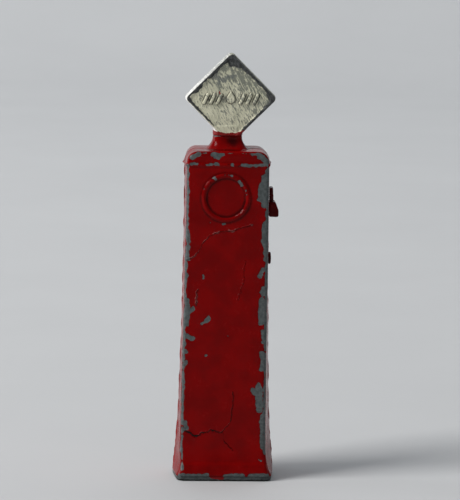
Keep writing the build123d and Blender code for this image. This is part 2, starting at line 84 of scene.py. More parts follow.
LEFT_EDGE_CHIPS = [
    (-5.98, 46.0, -6.00, 32.0, 0.40),
    (-6.00, 32.0, -6.14, 4.4, 0.42),
    (-6.10, 6.0, -6.12, 1.8, 0.30),
    (-5.72, 36.6, -5.75, 33.3, 0.34),
    (-5.80, 32.9, -5.50, 32.4, 0.24),
    (-5.60, 26.5, -5.50, 23.1, 0.42),
    (-5.30, 24.6, -4.65, 25.4, 0.26),
    (-5.40, 21.3, -4.80, 20.9, 0.40),
    (-5.70, 19.3, -5.60, 19.0, 0.34),
    (-5.70, 17.5, -5.60, 17.2, 0.32),
    (-5.60, 8.4, -5.35, 7.8, 0.40),
]
CAP_CHIPS = [
    (-5.30, 47.3, -4.20, 47.9, 0.36),
    (-4.10, 48.0, -3.20, 48.0, 0.14),
    (-2.30, 47.8, -0.90, 47.8, 0.28),
    (-1.80, 47.5, -1.30, 47.4, 0.32),
    (0.00, 48.0, 1.20, 48.0, 0.14),
    (2.00, 48.0, 2.70, 48.0, 0.14),
    (2.90, 48.0, 4.20, 47.8, 0.20),
    (4.60, 47.6, 5.60, 46.8, 0.46),
    (-5.30, 46.3, -4.50, 46.3, 0.20),
    (-3.20, 46.3, -1.40, 46.3, 0.22),
    (0.10, 46.3, 0.60, 46.3, 0.19),
    (1.60, 46.2, 5.60, 46.3, 0.25),
]
RING_CHIPS = [
    (-2.55, 43.9, -1.80, 44.4, 0.26),
    (-1.70, 44.50, -0.50, 44.70, 0.23),
    (0.10, 44.75, 0.60, 44.65, 0.30),
    (1.65, 44.0, 2.10, 43.5, 0.27),
    (2.70, 42.7, 2.85, 42.1, 0.23),
    (1.85, 39.3, 2.30, 39.9, 0.22),
    (-3.35, 42.7, -3.20, 42.9, 0.19),
]
PANEL_CHIPS = [
    (-2.40, 24.0, -2.60, 23.7, 0.42),
    (-2.90, 23.4, -3.35, 23.1, 0.18),
    (-3.40, 30.3, -3.30, 29.8, 0.11),
    (-2.50, 37.9, -2.40, 37.8, 0.09),
    (-0.55, 37.7, -0.45, 37.7, 0.08),
    (-2.70, 18.5, -2.60, 18.5, 0.08),
    (0.35, 21.4, 0.45, 21.3, 0.08),
]
FOOT_CHIPS = [
    (-6.60, 0.75, -2.60, 0.80, 0.38),
    (0.20, 0.75, 2.80, 0.80, 0.42),
    (3.80, 0.75, 6.60, 0.85, 0.46),
]
# Red drips that run down over the plate, in the same form.
PLATE_DRIPS = [(-1.7, 0.75, -0.3, 0.55, 0.34), (3.6, 0.85, 4.4, 0.85, 0.16)]
# Bare patches on the rear shell: along its edges, round the pins and at the foot.
REAR_CHIPS = [
    (5.95, 45.8, 5.98, 36.0, 0.40),
    (6.00, 30.0, 6.12, 12.0, 0.42),
    (-5.95, 45.8, -6.00, 27.0, 0.42),
    (-6.05, 22.0, -6.14, 5.0, 0.44),
    (-5.2, 41.0, -5.1, 39.2, 0.50),
    (5.3, 26.0, 5.2, 24.4, 0.52),
    (-5.3, 12.6, -5.0, 11.2, 0.50),
    (5.2, 9.0, 5.5, 7.8, 0.40),
    (-4.6, 47.7, -2.8, 47.9, 0.26),
    (1.2, 47.8, 4.6, 47.7, 0.28),
    (-4.8, 46.3, -1.2, 46.3, 0.20),
    (2.0, 46.3, 5.4, 46.3, 0.22),
    (1.4, 36.2, 1.7, 35.6, 0.36),
    (-1.2, 11.6, -1.0, 11.4, 0.34),
    (2.6, 20.2, 2.9, 19.8, 0.40),
    (-2.2, 28.6, -2.3, 28.2, 0.26),
    (-6.60, 0.75, -1.20, 0.80, 0.40),
    (1.20, 0.75, 6.60, 0.80, 0.40),
]
FRONT_CHIPS = RIGHT_EDGE_CHIPS + LEFT_EDGE_CHIPS + CAP_CHIPS + RING_CHIPS + PANEL_CHIPS + FOOT_CHIPS

# Bare places on the sign's two faces, in the same form, from the middle of the diamond.
SIGN_ASIDE = 0.35
SIGN_CHIPS = [
    (-0.9, 61.3, 0.9, 61.2, 0.62),
    (-0.2, 60.6, 1.4, 60.3, 0.34),
    (0.9, 61.1, 2.7, 59.5, 0.50),
    (2.7, 59.5, 6.0, 56.2, 0.38),
    (5.6, 56.3, 6.1, 55.4, 0.50),
    (6.1, 55.3, 5.0, 54.2, 0.36),
    (5.0, 54.2, 1.9, 51.1, 0.24),
    (-1.0, 61.0, -2.4, 59.7, 0.42),
    (-2.4, 59.7, -3.2, 58.9, 0.50),
    (-3.2, 58.9, -4.9, 57.2, 0.26),
    (-4.5, 57.4, -5.2, 56.7, 0.42),
    (-5.0, 57.0, -6.2, 55.9, 0.30),
    (-6.3, 55.7, -5.9, 55.2, 0.36),
    (-5.9, 55.2, -4.4, 53.7, 0.18),
    (-4.4, 53.7, -2.4, 51.7, 0.12),
    (-1.75, 52.1, -1.55, 51.9, 0.13),
]
SIGN_THIN_PATCHES = [
    (-2.4, 58.6, -1.0, 58.2, 0.50),
    (-0.8, 58.6, 0.6, 58.9, 0.36),
    (-2.0, 57.6, -1.7, 57.9, 0.36),
    (0.2, 59.6, 0.7, 58.9, 0.22),
    (-2.6, 59.0, -2.0, 59.3, 0.26),
    (0.6, 57.8, 1.6, 57.6, 0.20),
]
SIGN_RED_SPECKS = [
    (-1.90, 56.9, -1.60, 56.4, 0.17),
    (-4.85, 55.4, -4.70, 54.9, 0.09),
    (-0.20, 54.5, 0.25, 54.45, 0.09),
]


def face_depth(z):
    """Distance of the dial side from the seam at each height."""
    down = np.clip((FACE_TOP_LEVEL - z) / (FACE_TOP_LEVEL - FACE_FOOT_LEVEL), 0, 1)
    flare = np.clip((FACE_FOOT_LEVEL - z) / (FACE_FOOT_LEVEL - PLATE_TOP), 0, 1)
    return (
        FACE_TOP_DEPTH
        + (FACE_FOOT_DEPTH - FACE_TOP_DEPTH) * down
        + (FOOT_EDGE_DEPTH - FACE_FOOT_DEPTH) * flare**2
    )


def sign_depth(z):
    """Distance of the sign's face from the seam."""
    return SIGN_FACE_DEPTH


# ---------------------------------------------------------------- mesh tools
def fine_mesh(node, voxel):
    """The CAD node's shape as an even, closed grid of faces, in millimetres."""
    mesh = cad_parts[node].data.copy()
    mesh.materials.clear()
    mesh.transform(Matrix.Scale(1 / MM, 4))
    holder = bpy.data.objects.new("grid_source", mesh)
    bpy.context.scene.collection.objects.link(holder)
    grid = holder.modifiers.new("grid", "REMESH")
    grid.mode = "VOXEL"
    grid.voxel_size = voxel
    graph = bpy.context.evaluated_depsgraph_get()
    result = bpy.data.meshes.new_from_object(holder.evaluated_get(graph))
    bpy.data.objects.remove(holder)
    return result


def points_of(mesh):
    flat = np.empty(len(mesh.vertices) * 3)
    mesh.vertices.foreach_get("co", flat)
    return flat.reshape(-1, 3)


def normals_of(mesh):
    flat = np.empty(len(mesh.vertices) * 3, np.float32)
    mesh.vertices.foreach_get("normal", flat)
    return flat.reshape(-1, 3).astype(float)


def edges_of(mesh):
    flat = np.empty(len(mesh.edges) * 2, np.int32)
    mesh.edges.foreach_get("vertices", flat)
    return flat.reshape(-1, 2)


def relaxed(points, edges, passes, pull=0.5):
    """Each point moved towards the middle of its neighbours, several times over."""
    a, b = edges[:, 0], edges[:, 1]
    count = len(points)
    neighbours = np.bincount(edges.ravel(), minlength=count)
    for _ in range(passes):
        middle = np.empty_like(points)
        for k in range(3):
            middle[:, k] = np.bincount(a, points[b, k], count) + np.bincount(b, points[a, k], count)
        points = points + pull * (middle / neighbours[:, None] - points)
    return points


def noise_at(points, size, seed):
    """Smooth noise from -1 to 1 with features of one size, at each point."""
    shift = Vector((17.3 * seed, 5.1 * seed, 9.7 * seed))
    return np.array([noise.noise(Vector(p) / size + shift) for p in points])


def within(points, chips, depth):
    """How far each point lies inside the nearest of these patches: negative outside."""
    best = np.full(len(points), -9.0)
    for x0, z0, x1, z1, half in chips:
        start = np.array([x0, -float(depth(z0)), z0])
        along = np.array([x1, -float(depth(z1)), z1]) - start
        share = np.clip((points - start) @ along / max(along @ along, 1e-9), 0, 1)
        away = np.linalg.norm(points - start - share[:, None] * along, axis=1)
        best = np.maximum(best, half - away)
    return best


def bulge(value, middle, reach):
    """1 at the middle, falling smoothly to 0 at this reach on each side."""
    return step(reach - np.abs(value - middle), 0, reach)


def step(value, low, high):
    t = np.clip((value - low) / (high - low), 0, 1)
    return t * t * (3 - 2 * t)


def keep_value(mesh, name, values):
    layer = mesh.attributes.new(name, "FLOAT", "POINT")
    layer.data.foreach_set("value", np.asarray(values, np.float32))


def finished(name, mesh, points, material, body, node):
    """Writes the points back in metres and makes the piece that stands for its CAD node."""
    mesh.vertices.foreach_set("co", (points * MM).astype(np.float32).ravel())
    mesh.update()
    mesh.shade_smooth()
    piece = bpy.data.objects.new(name, mesh)
    bpy.context.scene.collection.objects.link(piece)
    mesh.materials.append(material)
    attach(piece, body)
    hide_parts(node)
    return piece


# ---------------------------------------------------------------- node tools
class Graph:
    """Short calls that add shader nodes to one material."""

    def __init__(self, name):
        self.material = bpy.data.materials.new(name)
        self.material.use_nodes = True
        self.tree = self.material.node_tree
        self.shader = self.tree.nodes["Principled BSDF"]
        place = self.add("ShaderNodeTexCoord")
        scaled = self.add("ShaderNodeVectorMath", operation="SCALE")
        self.tree.links.new(place.outputs["Object"], scaled.inputs[0])
        scaled.inputs["Scale"].default_value = 1 / MM
        self.place = scaled.outputs[0]

    def add(self, kind, **settings):
        made = self.tree.nodes.new(kind)
        for key, value in settings.items():
            setattr(made, key, value)
        return made

    def feed(self, socket, value):
        if isinstance(value, bpy.types.NodeSocket):
            self.tree.links.new(value, socket)
        else:
            socket.default_value = value

    def math(self, operation, a, b=0.0, c=0.0, clamp=False):
        made = self.add("ShaderNodeMath", operation=operation, use_clamp=clamp)
        for socket, value in zip(made.inputs, (a, b, c)):
            self.feed(socket, value)
        return made.outputs[0]

    def noise(self, size, detail=3.0, rough=0.55, place=None, stretch=0.0):
        made = self.add("ShaderNodeTexNoise")
        self.feed(made.inputs["Vector"], place or self.place)
        made.inputs["Scale"].default_value = 1 / size
        made.inputs["Detail"].default_value = detail
        made.inputs["Roughness"].default_value = rough
        made.inputs["Distortion"].default_value = stretch
        return made.outputs[0]

    def flaked(self, size, place=None):
        """Distance to the nearest of many scattered points, for borders made of small scallops."""
        made = self.add("ShaderNodeTexVoronoi", feature="F1")
        self.feed(made.inputs["Vector"], place or self.place)
        made.inputs["Scale"].default_value = 1 / size
        return made.outputs["Distance"]

    def shifted(self, amount, size=0.6):
        """Places pushed about by noise, so that shapes drawn at them get ragged borders."""
        made = self.add("ShaderNodeTexNoise")
        self.feed(made.inputs["Vector"], self.place)
        made.inputs["Scale"].default_value = 1 / size
        made.inputs["Detail"].default_value = 3.0
        middle = self.add("ShaderNodeVectorMath", operation="SUBTRACT")
        self.feed(middle.inputs[0], made.outputs["Color"])
        middle.inputs[1].default_value = (0.5, 0.5, 0.5)
        pushed = self.add("ShaderNodeVectorMath", operation="SCALE")
        self.feed(pushed.inputs[0], middle.outputs[0])
        pushed.inputs["Scale"].default_value = amount
        total = self.add("ShaderNodeVectorMath", operation="ADD")
        self.feed(total.inputs[0], self.place)
        self.feed(total.inputs[1], pushed.outputs[0])
        return total.outputs[0]

    def drawn_out(self, place, lean, length):
        """Places in which noise is stretched along a line in the front view, lean degrees below level."""
        made = self.add("ShaderNodeMapping", vector_type="TEXTURE")
        self.feed(made.inputs["Vector"], place)
        made.inputs["Rotation"].default_value = (0, math.radians(lean), 0)
        made.inputs["Scale"].default_value = (length, 1, 1)
        return made.outputs[0]

    def axes(self, place=None):
        made = self.add("ShaderNodeSeparateXYZ")
        self.feed(made.inputs[0], place or self.place)
        return made.outputs

    def range(self, value, low, high, to_low=0.0, to_high=1.0):
        made = self.add("ShaderNodeMapRange", interpolation_type="SMOOTHSTEP")
        self.feed(made.inputs["Value"], value)
        for key, number in zip(("From Min", "From Max", "To Min", "To Max"), (low, high, to_low, to_high)):
            made.inputs[key].default_value = number
        return made.outputs[0]

    def value(self, name):
        return self.add("ShaderNodeAttribute", attribute_name=name).outputs["Fac"]

    def mix(self, share, a, b):
        made = self.add("ShaderNodeMix", data_type="RGBA")
        self.feed(made.inputs["Factor"], share)
        for socket, value in ((made.inputs[6], a), (made.inputs[7], b)):
            self.feed(socket, (*value, 1.0) if isinstance(value, tuple) else value)
        return made.outputs[2]

    def bump(self, height):
        made = self.add("ShaderNodeBump")
        made.inputs["Strength"].default_value = 1.0
        made.inputs["Distance"].default_value = MM
        self.feed(made.inputs["Height"], height)
        self.feed(self.shader.inputs["Normal"], made.outputs[0])

    def line(self, along, across, points, low, high):
        """Distance across a wandering line given as points along it, large beyond its two ends."""
        curve = self.add("ShaderNodeFloatCurve")
        span = high - low
        heights = [p[1] for p in points]
        base, rise = min(heights), max(max(heights) - min(heights), 0.1)
        mapping = curve.mapping.curves[0]
        while len(mapping.points) < len(points):
            mapping.points.new(0.5, 0.5)
        for knot, (a, b) in zip(mapping.points, points):
            knot.location = ((a - low) / span, (b - base) / rise)
            knot.handle_type = "VECTOR"
        curve.mapping.update()
        share = self.math("DIVIDE", self.math("SUBTRACT", along, low), span)
        self.feed(curve.inputs["Value"], share)
        level = self.math("MULTIPLY_ADD", curve.outputs[0], rise, base)
        off = self.math("ABSOLUTE", self.math("SUBTRACT", across, level))
        beyond = self.math("ABSOLUTE", self.math("SUBTRACT", share, 0.5))
        past_end = self.math("MAXIMUM", self.math("SUBTRACT", beyond, 0.5), 0.0)
        return self.math("ADD", off, self.math("MULTIPLY", past_end, 3 * span))


# ---------------------------------------------------------------- materials
RED = (0.212, 0.0005, 0.0006)
RED_DEEP = (0.160, 0.0004, 0.0006)
ZINC = (0.125, 0.142, 0.142)
ZINC_DARK = (0.080, 0.090, 0.090)
CREAM = (0.790, 0.770, 0.580)
CREAM_WORN = (0.150, 0.165, 0.145)

# Cracks and ridges in the red enamel of the dial side: x then z, or z then x for the steep ones.
RIDGE_UPPER = [
    (-5.9, 32.5), (-5.1, 32.8), (-4.1, 33.6), (-3.8, 34.5), (-3.1, 35.5), (-2.0, 36.3),
    (-0.8, 36.6), (0.8, 36.6), (1.4, 37.0), (2.2, 37.2), (3.6, 37.6),
]
CRACK_LOWER = [
    (-6.4, 7.9), (-5.7, 7.45), (-4.9, 7.05), (-4.15, 6.5), (-3.15, 7.05),
    (-2.0, 7.5), (-0.6, 7.15), (-0.2, 7.35), (0.5, 8.3), (0.9, 9.0),
]
CRACK_RISER = [(8.8, 0.85), (9.9, 1.05), (11.8, 1.2), (13.2, 1.15)]
CRACK_LEFT = [(25.7, -4.35), (26.8, -4.35), (27.6, -4.3), (28.2, -4.1)]
CRACK_SMALL = [(-0.2, 6.9), (-0.1, 6.1), (0.4, 5.4), (1.3, 4.5)]
RIDGE_FAINT = [(26.5, 1.6), (28.0, 2.0), (29.7, 2.5), (31.2, 2.45), (32.4, 2.6)]


def zinc_colour(g):
    mottled = g.noise(0.45, 4.0, 0.65)
    return g.mix(g.range(mottled, 0.35, 0.65), ZINC_DARK, ZINC)


def enamel_material(name, paint, paint_deep, cracked):
    """Thick gloss enamel on zinc: chipped where the mesh says so, and dulled a little all over; with painted
    shade in corners and round the chips, and a painted highlight beside the cracks where there are any.
    """
    g = Graph(name)
    x, y = g.axes()[:2]
    ragged = g.math("MULTIPLY_ADD", g.noise(0.22, 4.0, 0.65), 0.16, -0.08)
    scallops = g.math("MULTIPLY_ADD", g.flaked(0.75, g.shifted(0.35, 0.4)), -0.34, 0.15)
    bare = g.math("ADD", g.value("bare"), g.math("ADD", ragged, scallops))
    chipped = g.range(bare, -0.008, 0.008)
    # A dark rim in the paint round each chip: painted shade of the paint's edge.
    lip = g.range(g.math("ABSOLUTE", g.math("SUBTRACT", bare, -0.025)), 0.035, 0.0)
    uneven = g.range(g.noise(2.6, 3.0, 0.5), 0.30, 0.70)
    colour = g.mix(uneven, paint_deep, paint)
    colour = g.mix(g.math("MULTIPLY", lip, 0.70), colour, (0.030, 0.0006, 0.0006))
    # Near-black red in corners, creases and the neck's hollow, from the value kept on the mesh: painted
    # shade. The noise adds a little real grime.
    shade_and_grime = g.math("ADD", g.value("shade_and_dirt"), g.math("MULTIPLY_ADD", g.noise(0.8, 3.0), 0.024, -0.012))
    colour = g.mix(g.range(shade_and_grime, 0.008, 0.045, 0.0, 0.85), colour, (0.012, 0.0008, 0.0008))
    height = g.math("MULTIPLY", g.noise(0.55, 2.0, 0.5), 0.010)
    height = g.math("ADD", height, g.math("MULTIPLY", g.noise(0.12, 2.0, 0.5), 0.0016))
    if cracked:
        at = g.axes(g.shifted(0.75, 0.55))
        front = g.range(y, -3.6, -3.9)
        upper = g.line(at[0], at[2], RIDGE_UPPER, -5.9, 3.7)
        lower = g.line(at[0], at[2], CRACK_LOWER, -6.4, 0.9)
        riser = g.line(at[2], at[0], CRACK_RISER, 8.8, 13.2)
        left = g.line(at[2], at[0], CRACK_LEFT, 25.7, 28.2)
        small = g.line(at[0], at[2], CRACK_SMALL, -0.2, 1.3)
        faint = g.line(at[2], at[0], RIDGE_FAINT, 26.5, 32.4)
        widest = g.range(g.math("ABSOLUTE", g.math("ADD", x, 4.7)), 2.0, 0.4, 0.0, 0.09)
        wide_crack = g.math("SUBTRACT", lower, widest)
        branches = g.math("ADD", g.math("MINIMUM", riser, small), 0.02)
        deep = g.math("MINIMUM", wide_crack, branches)
        deep_line = g.math("MULTIPLY", g.range(deep, 0.065, 0.035), front)
        thin = g.math("MINIMUM", upper, left)
        thin_line = g.math("MULTIPLY", g.range(thin, 0.055, 0.025), front)
        colour = g.mix(deep_line, colour, (0.006, 0.004, 0.004))
        colour = g.mix(g.math("MULTIPLY", thin_line, 0.9), colour, (0.010, 0.002, 0.002))
        # A pale line beside the thin cracks and ridges: a painted highlight on their raised lip.
        beside = g.math("ABSOLUTE", g.math("SUBTRACT", thin, 0.10))
        pale = g.math("MULTIPLY", g.range(beside, 0.05, 0.02), front)
        pale = g.math("MULTIPLY", pale, g.range(g.noise(0.8, 2.0), 0.48, 0.58))
        colour = g.mix(g.math("MULTIPLY", pale, 0.55), colour, (0.22, 0.13, 0.12))
        ridge = g.math("MINIMUM", g.math("MINIMUM", thin, deep), g.math("ADD", faint, 0.05))
        raised = g.math("MULTIPLY", g.range(ridge, 0.20, 0.06), 0.110)
        height = g.math("ADD", height, g.math("MULTIPLY", raised, front))
        height = g.math("SUBTRACT", height, g.math("MULTIPLY", deep_line, 0.07))
    height = g.math("SUBTRACT", height, g.math("MULTIPLY", chipped, 0.035))
    grain = g.math("MULTIPLY", chipped, g.noise(0.10, 3.0, 0.6))
    height = g.math("ADD", height, g.math("MULTIPLY", grain, 0.016))
    colour = g.mix(chipped, colour, zinc_colour(g))
    g.feed(g.shader.inputs["Base Color"], colour)
    gloss = g.range(g.noise(1.3, 4.0, 0.6), 0.30, 0.75, 0.12, 0.30)
    rough = g.add("ShaderNodeMix", data_type="FLOAT")
    g.feed(rough.inputs["Factor"], chipped)
    g.feed(rough.inputs[2], gloss)
    rough.inputs[3].default_value = 0.42
    g.feed(g.shader.inputs["Roughness"], rough.outputs[0])
    g.feed(g.shader.inputs["Metallic"], g.math("MULTIPLY", chipped, 0.35))
    g.shader.inputs["Specular IOR Level"].default_value = 0.07
    g.bump(height)
    return g.material


def sign_material():
    """Brushed cream enamel, worn thin in streaks, bare at the corners, with red from the neck. The left walls
    are near-white as a painted highlight, and the emblem's crevices are darker from dirt and painted shade.
    """
    g = Graph("cream_enamel")
    x, _, z = g.axes()
    ragged = g.math("MULTIPLY_ADD", g.noise(0.35, 5.0, 0.65), 0.50, -0.25)
    bare = g.math("ADD", g.value("bare"), ragged)
    chipped = g.range(bare, -0.02, 0.02)
    pushed = g.shifted(0.35, 0.8)
    streaks = g.noise(0.24, 4.0, 0.65, place=g.drawn_out(pushed, 62, 4.0))
    broad = g.noise(1.4, 3.0, 0.6, place=g.drawn_out(pushed, 62, 2.2))
    side = g.math("MULTIPLY_ADD", x, 0.014, g.math("MULTIPLY_ADD", z, 0.016, -0.93))
    brushed = g.math("ADD", g.math("MULTIPLY", streaks, 1.25), g.math("MULTIPLY", broad, 0.6))
    thin = g.math("ADD", brushed, side)
    worn = g.range(thin, 0.89, 0.97)
    patchy = g.math("MULTIPLY_ADD", g.noise(0.45, 4.0, 0.65), 1.0, -0.55)
    film = g.range(g.math("ADD", g.value("thin"), patchy), -0.05, 0.10)
    warm = g.range(g.noise(2.2, 2.0, 0.5), 0.35, 0.7)
    colour = g.mix(warm, (0.62, 0.61, 0.45), CREAM)
    # The left walls near-white: a painted highlight.
    colour = g.mix(g.value("left_wall_highlight"), colour, (0.90, 0.90, 0.86))
    colour = g.mix(g.math("MULTIPLY", worn, 0.80), colour, CREAM_WORN)
    colour = g.mix(g.math("MULTIPLY", film, 0.75), colour, (0.150, 0.165, 0.160))
    flecks = g.range(g.noise(0.16, 4.0, 0.7, place=g.drawn_out(pushed, 62, 3.0)), 0.60, 0.68)
    flecks = g.math("MULTIPLY", flecks, g.range(thin, 0.70, 0.92, 0.15, 1.0))
    colour = g.mix(g.math("MULTIPLY", flecks, 0.85), colour, (0.070, 0.075, 0.070))
    # Near-black in the emblem's crevices: partly dirt, partly painted shade.
    settled = g.math("MULTIPLY_ADD", g.noise(0.35, 3.0), 0.020, -0.010)
    shade_and_grime = g.range(g.math("ADD", g.value("shade_and_dirt"), settled), 0.003, 0.010)
    colour = g.mix(g.math("MULTIPLY", shade_and_grime, 0.90), colour, (0.022, 0.022, 0.018))
    red_border = g.math("MULTIPLY_ADD", g.noise(0.4, 3.0), 0.30, -0.15)
    red = g.range(g.math("ADD", g.value("red"), red_border), -0.012, 0.012)
    mottled = g.range(g.noise(0.5, 4.0, 0.65), 0.35, 0.65)
    metal = g.mix(mottled, (0.040, 0.042, 0.042), (0.115, 0.120, 0.120))
    colour = g.mix(chipped, colour, metal)
    colour = g.mix(red, colour, (0.22, 0.0015, 0.0015))
    g.feed(g.shader.inputs["Base Color"], colour)
    g.feed(g.shader.inputs["Roughness"], g.range(g.noise(0.8, 3.0), 0.3, 0.7, 0.30, 0.50))
    g.shader.inputs["Specular IOR Level"].default_value = 0.35
    g.feed(g.shader.inputs["Metallic"], g.math("MULTIPLY", chipped, 0.5))
    height = g.math("MULTIPLY", streaks, 0.20)
    height = g.math("ADD", height, g.math("MULTIPLY", g.noise(0.5, 3.0), 0.03))
    height = g.math("SUBTRACT", height, g.math("MULTIPLY", chipped, 0.04))
    height = g.math("ADD", height, g.math("MULTIPLY", red, 0.03))
    g.bump(height)
    return g.material


def steel_material(name, light, dark, shade_below):
    """Bare steel with stains, darkened below one height as painted shade, and red enamel where the mesh says
    so.
    """
    g = Graph(name)
    stain = g.range(g.noise(0.7, 5.0, 0.65), 0.35, 0.68)
    colour = g.mix(stain, light, dark)
    rust = g.range(g.noise(0.35, 4.0, 0.6), 0.62, 0.75)
    colour = g.mix(g.math("MULTIPLY", rust, 0.6), colour, (0.070, 0.026, 0.012))
    # Near-black below one height: painted shade where the plate meets the floor.
    level = g.math("MULTIPLY_ADD", g.noise(0.6, 3.0), 0.5, g.axes()[2])
    colour = g.mix(g.range(level, shade_below + 0.25, shade_below + 0.10), colour, (0.012, 0.012, 0.011))
    red_border = g.math("MULTIPLY_ADD", g.noise(0.3, 4.0), 0.3, -0.15)
    red = g.range(g.math("ADD", g.value("red"), red_border), -0.012, 0.012)
    colour = g.mix(red, colour, RED)
    g.feed(g.shader.inputs["Base Color"], colour)
    g.shader.inputs["Specular IOR Level"].default_value = 0.2
    g.feed(g.shader.inputs["Metallic"], g.math("MULTIPLY", g.math("SUBTRACT", 1.0, red), 0.4))
    g.feed(g.shader.inputs["Roughness"], g.range(g.noise(0.5, 3.0), 0.3, 0.7, 0.32, 0.60))
    height = g.math("ADD", g.math("MULTIPLY", g.noise(0.15, 3.0), 0.015), g.math("MULTIPLY", red, 0.03))
    g.bump(height)
    return g.material


# ---------------------------------------------------------------- pieces
def softened(node, voxel, passes):
    mesh = fine_mesh(node, voxel)
    edges = edges_of(mesh)
    points = relaxed(points_of(mesh), edges, passes)
    mesh.vertices.foreach_set("co", points.astype(np.float32).ravel())
    mesh.update()
    return mesh, points, edges, normals_of(mesh)


def sharpness(points, edges, normals, passes):
    """Positive along outside edges, negative in corners, near zero on flat places."""
    return np.einsum("ij,ij->i", points - relaxed(points, edges, passes), normals)


def nozzle_path(points):
    """The strip of the shells' right side that the nozzle slides over, kept free of flash and swelling."""
    x, y, z = points.T
    strip = step(x, 4.0, 5.0) * step(NOZZLE_PATH_HALF_WIDTH - np.abs(y), 0, 0.3)
    return strip * step(z, NOZZLE_PATH_FOOT, NOZZLE_PATH_FOOT + 0.6) * step(NOZZLE_PATH_TOP - z, 0, 0.3)


def flash(points, normals, seed):
    """The ragged seam line down both sides, where the two shells meet."""
    out = step(np.abs(normals[:, 0]), 0.6, 0.9) * step(np.abs(points[:, 0]), 5.9, 6.1)
    height = 0.05 + 0.16 * np.maximum(noise_at(points * np.array([1, 0, 1]), 1.6, seed), -0.2)
    height = height + 0.10 * bulge(points[:, 2], 6.6, 2.2) * step(-points[:, 0], 0, 1)
    return out * height * step(0.42 - np.abs(points[:, 1]), 0, 0.3) * step(points[:, 2], 1.2, 2.2)


def foot_lip(points, normals):
    """The faces' lowest band, which stands a little proud of the flare above it."""
    faces = step(np.abs(normals[:, 1]), 0.6, 0.9) * step(np.abs(points[:, 1]), 4.4, 4.6)
    return 0.11 * faces * step(2.9 - points[:, 2], 0, 0.6)


def casting(name, node, side, material, voxel, seed, chips, wear):
    """A die-cast shell: soft edges, a wavy surface, and enamel missing along the edges and at its chips."""
    mesh, points, edges, normals = softened(node, voxel, 3)
    edge = relaxed(sharpness(points, edges, normals, 22)[:, None] * np.ones(3), edges, 2)[:, 0]
    wide = noise_at(points, 2.4, seed)
    small = noise_at(points, 0.7, seed + 1)
    rubbed = (edge - wear) * 6.0 + 0.42 * wide + 0.16 * small - 0.20
    rubbed = rubbed + 0.16 * step(points[:, 2], 46.9, 47.8)
    outside = points * np.array([1.0, side, 1.0])
    chipped = within(outside, chips, face_depth) + 0.12 * small + 0.06 * wide
    bare = np.maximum(np.minimum(rubbed, 0.4), chipped)
    keep_value(mesh, "bare", bare)
    # The neck's front is pressed in a little. It is kept with the corners as a value that the enamel paints
    # near-black: painted shade in the hollow and the corners.
    hollow = (side > 0) * bulge(points[:, 0], 0.8, 2.0) * bulge(points[:, 2], 49.4, 1.4)
    hollow = hollow * step(-points[:, 1], 1.0, 1.4)
    corners = relaxed(-edge[:, None] * np.ones(3), edges, 1)[:, 0]
    keep_value(mesh, "shade_and_dirt", np.maximum(corners, 0.045 * hollow))
    wave = 0.030 * noise_at(points, 4.5, seed + 2) + 0.012 * noise_at(points, 1.4, seed + 3)
    lift = wave - 0.5 * PAINT_THICK * step(bare, -0.06, 0.06)
    lift = lift + flash(points, normals, seed + 4) + foot_lip(points, normals)
    lift = lift - nozzle_path(points) * np.maximum(lift, 0)
    points = points + normals * (lift - 0.28 * hollow)[:, None]
    points[:, 2] += 0.13 * step(points[:, 2], STEM_FOOT - 0.22, STEM_FOOT - 0.02)
    points[:, 2] -= 0.12 * step(PLATE_TOP + 0.24 - points[:, 2], 0, 0.2)
    low_down = step(points[:, 2], 1.5, 5.0) * step(40.0 - points[:, 2], 0, 30.0)
    aside = 0.19 - 0.04 * np.clip(points[:, 0] / 6.0, -1, 1)
    points[:, 0] -= (side > 0) * aside * low_down * step(-points[:, 1], 0.5, 4.2)
    return finished(name, mesh, points, material, "pump", node)


